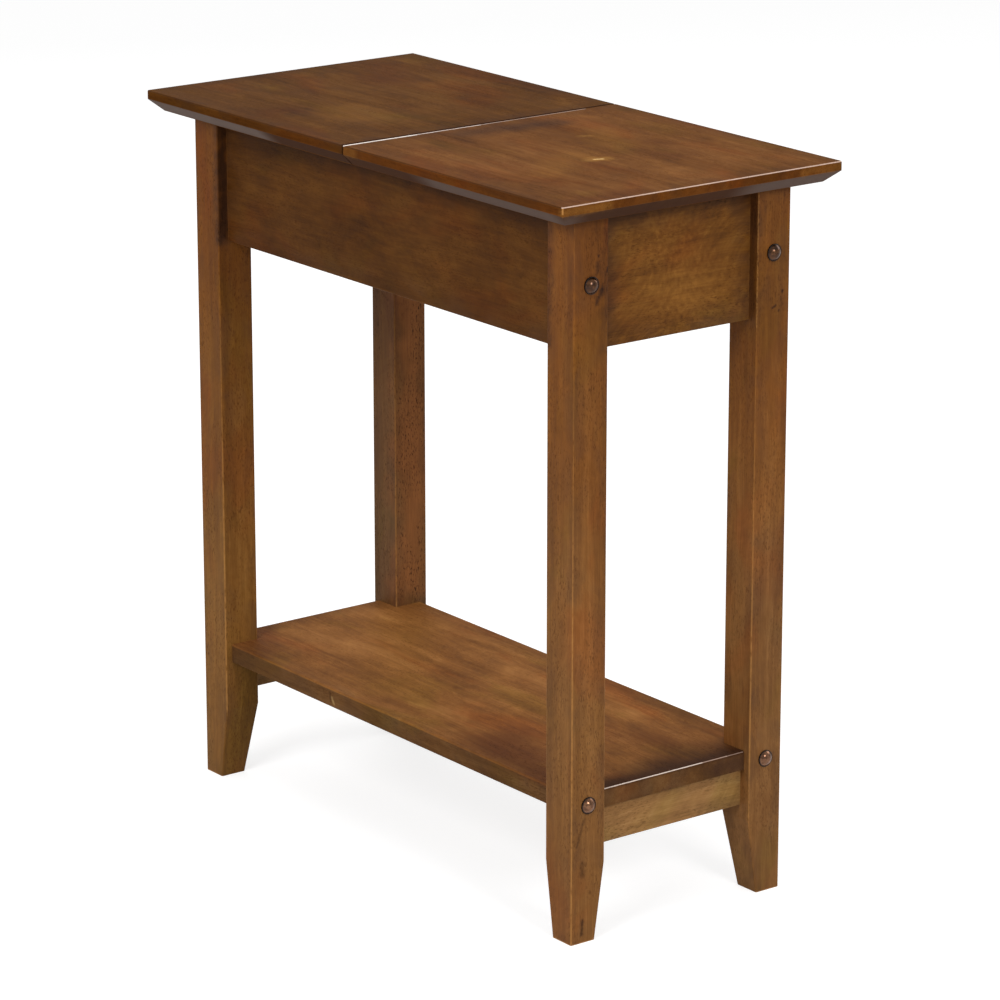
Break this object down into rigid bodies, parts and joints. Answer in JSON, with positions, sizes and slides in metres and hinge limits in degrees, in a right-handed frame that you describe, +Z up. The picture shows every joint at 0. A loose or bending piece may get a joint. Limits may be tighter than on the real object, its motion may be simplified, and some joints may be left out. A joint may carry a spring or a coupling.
{
  "type": "lift top end table",
  "caption": "Narrow end table in stained wood: the front half of its top lifts on concealed hinges over a storage box, with a notched shelf below between tapered legs.",
  "frame": {"origin": "on the floor, under the middle of the top", "axes": "+Z up, +X across the narrow width, +Y along the depth away from the lift lid's end"},
  "size_m": [0.279, 0.572, 0.61],
  "materials": {
    "top_wood": "brown walnut stain under satin lacquer",
    "shelf_wood": "brown walnut stain under satin lacquer",
    "leg_wood": "dark walnut stain under satin lacquer",
    "apron_wood": "dark walnut stain under satin lacquer",
    "rail_wood": "dark walnut stain under satin lacquer",
    "box_wood": "thin walnut stain, matt",
    "panel_wood": "stained plywood, matt",
    "dowel_wood": "plain beech",
    "bronze_bolt": "antique bronze plating, worn on the dome",
    "plated_steel": "zinc plated",
    "hinge_metal": "antique brass, satin",
    "link_steel": "ground steel",
    "bumper_rubber": "soft matt rubber"
  },
  "bodies": {
    "frame": {"leg_front_left": "leg_wood", "leg_front_right": "leg_wood", "leg_rear_left": "leg_wood", "leg_rear_right": "leg_wood", "front_apron": "apron_wood", "rear_apron": "apron_wood", "left_apron": "apron_wood", "right_apron": "apron_wood", "front_lower_rail": "rail_wood", "rear_lower_rail": "rail_wood", "shelf": "shelf_wood", "fixed_top": "top_wood", "divider": "box_wood", "storage_floor": "panel_wood", "left_cleat": "box_wood", "right_cleat": "box_wood", "cleat_screws": "plated_steel", "top_screws": "plated_steel", "end_apron_dowels": "dowel_wood", "side_apron_dowels": "dowel_wood", "rail_dowels": "dowel_wood", "divider_dowels": "dowel_wood", "apron_bolts": "bronze_bolt", "shelf_bolts": "bronze_bolt", "apron_barrel_nuts": "plated_steel", "shelf_barrel_nuts": "plated_steel", "left_hinge_fixed_leaf": "hinge_metal", "right_hinge_fixed_leaf": "hinge_metal", "fixed_leaf_screws": "plated_steel", "lid_bumpers": "bumper_rubber"},
    "lid": {"lift_lid": "top_wood", "left_hinge_lid_leaf": "hinge_metal", "right_hinge_lid_leaf": "hinge_metal", "lid_leaf_screws": "plated_steel"},
    "hinge_links": {"left_hinge_link": "link_steel", "right_hinge_link": "link_steel"}
  },
  "joints": [
    {"name": "lid_hinge", "type": "hinge", "parent": "frame", "child": "lid", "pos_m": [0, 0, 0.61], "axis": [-1, 0, 0], "range_deg": [0, 96]},
    {"name": "link_swing", "type": "hinge", "parent": "frame", "child": "hinge_links", "pos_m": [0, 0, 0.61], "axis": [-1, 0, 0], "range_deg": [0, 48]}
  ],
  "couplings": [
    {"joint": "link_swing", "follows": "lid_hinge", "ratio": 0.5}
  ]
}
